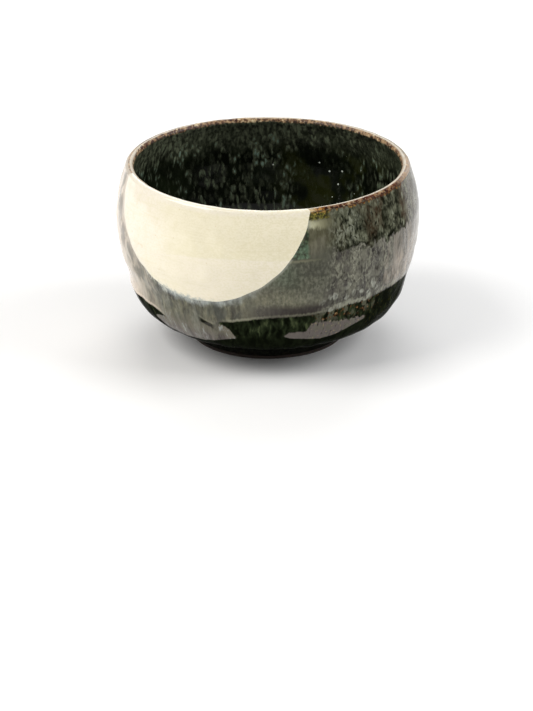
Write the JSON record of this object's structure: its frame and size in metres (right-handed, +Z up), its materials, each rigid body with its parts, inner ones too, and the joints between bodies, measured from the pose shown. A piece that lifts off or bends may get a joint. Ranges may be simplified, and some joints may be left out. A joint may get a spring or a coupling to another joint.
{
  "type": "tea bowl",
  "caption": "Round-bellied stoneware tea bowl on a turned foot, dark green streaked glaze with a cream disc glaze window at the rim.",
  "frame": {"origin": "centre of the circle that the foot stands on", "axes": "+Z up along the bowl's axis, the front with the cream disc towards -Y and -X"},
  "size_m": [0.125, 0.125, 0.0746],
  "materials": {
    "clay": "unglazed fired stoneware",
    "foot_clay": "unglazed, turned and wiped smooth",
    "foot_glaze": "gloss",
    "green_glaze": "gloss, streaked",
    "cream_glaze": "gloss, finely crackled",
    "lip_glaze": "satin, broken iron brown",
    "inner_glaze": "gloss, spotted",
    "pool_glaze": "deep gloss"
  },
  "bodies": {
    "root": {"clay_body": "clay", "foot_ring": "foot_clay", "foot_glaze": "foot_glaze", "outer_green_glaze": "green_glaze", "moon_glaze": "cream_glaze", "lip_glaze": "lip_glaze", "inner_green_glaze": "inner_glaze", "tea_pool_glaze": "pool_glaze"}
  },
  "joints": []
}
